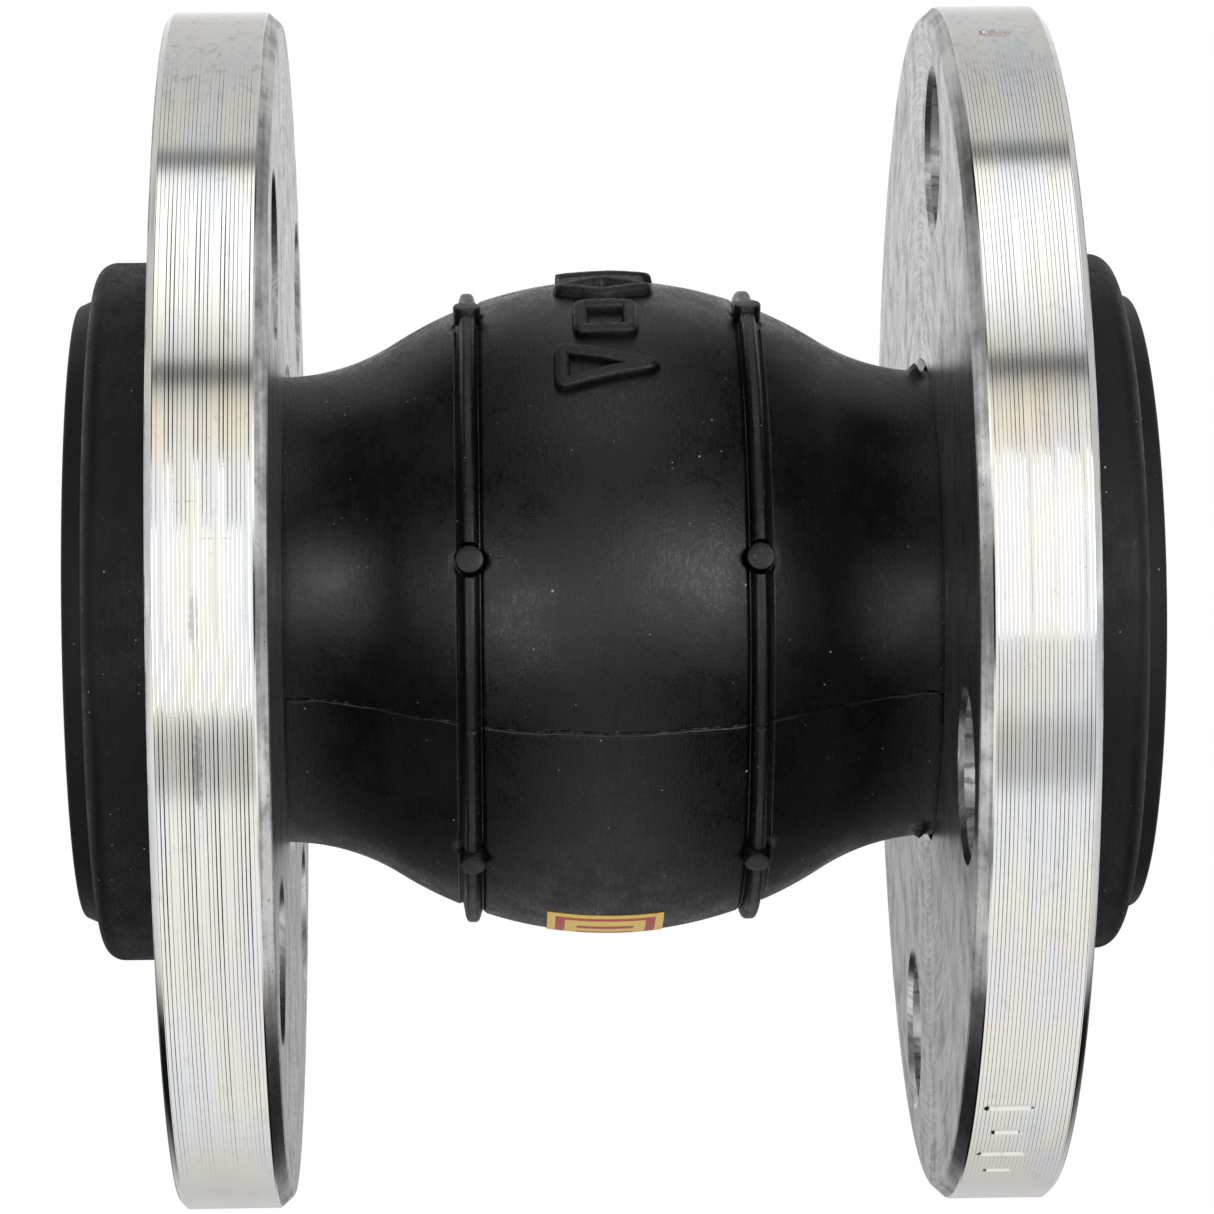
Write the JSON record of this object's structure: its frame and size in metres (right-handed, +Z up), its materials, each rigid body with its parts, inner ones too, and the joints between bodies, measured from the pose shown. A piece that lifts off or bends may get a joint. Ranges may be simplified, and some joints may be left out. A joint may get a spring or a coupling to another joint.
{
  "type": "rubber expansion joint",
  "caption": "Moulded rubber sphere held between loose steel flanges, a flexible pipe connector that bends, stretches and shifts.",
  "frame": {"origin": "on the pipe axis, midway between the two sealing faces", "axes": "+X along the pipe axis towards the right flange, +Z up, -Y towards the side that carries the moulded marks"},
  "size_m": [0.095, 0.108, 0.108],
  "materials": {
    "zinc_plated_steel": "turned and zinc plated",
    "cover_rubber": "moulded, satin",
    "tube_rubber": "moulded, smooth",
    "filler_rubber": "plain",
    "nylon_cord": "woven cord cloth",
    "bead_wire": "brass plated wire",
    "sticker": "printed paper"
  },
  "bodies": {
    "left_flange": {"left_flange": "zinc_plated_steel"},
    "left_end": {"left_bead_wires": "bead_wire", "left_bead_filler": "filler_rubber"},
    "left_half": {"outer_cover": "cover_rubber", "label": "sticker"},
    "right_half": {"cord_ply_1": "nylon_cord", "cord_ply_2": "nylon_cord", "cord_ply_3": "nylon_cord", "inner_tube": "tube_rubber"},
    "right_end": {"right_bead_wires": "bead_wire", "right_bead_filler": "filler_rubber"},
    "right_flange": {"right_flange": "zinc_plated_steel"}
  },
  "joints": [
    {"name": "left_flange_swivel", "type": "hinge", "parent": "left_flange", "child": "left_end", "pos_m": [-0.0338, 0, 0], "axis": [1, 0, 0], "continuous": true},
    {"name": "left_bend", "type": "hinge", "parent": "left_end", "child": "left_half", "pos_m": [-0.021, 0, 0], "axis": [0, 1, 0], "range_deg": [-7.5, 7.5], "stiffness_Nm_per_rad": 57, "deforming": ["outer_cover", "cord_ply_1", "cord_ply_2", "cord_ply_3", "inner_tube", "label"]},
    {"name": "axial_travel", "type": "slide", "parent": "left_half", "child": "right_half", "axis": [1, 0, 0], "range_m": [-0.009, 0.006], "stiffness_N_per_m": 40000, "deforming": ["outer_cover", "cord_ply_1", "cord_ply_2", "cord_ply_3", "inner_tube", "label"]},
    {"name": "right_bend", "type": "hinge", "parent": "right_half", "child": "right_end", "pos_m": [0.021, 0, 0], "axis": [0, 1, 0], "range_deg": [-7.5, 7.5], "stiffness_Nm_per_rad": 57, "deforming": ["outer_cover", "cord_ply_1", "cord_ply_2", "cord_ply_3", "inner_tube", "label"]},
    {"name": "right_flange_swivel", "type": "hinge", "parent": "right_end", "child": "right_flange", "pos_m": [0.0338, 0, 0], "axis": [1, 0, 0], "continuous": true}
  ]
}
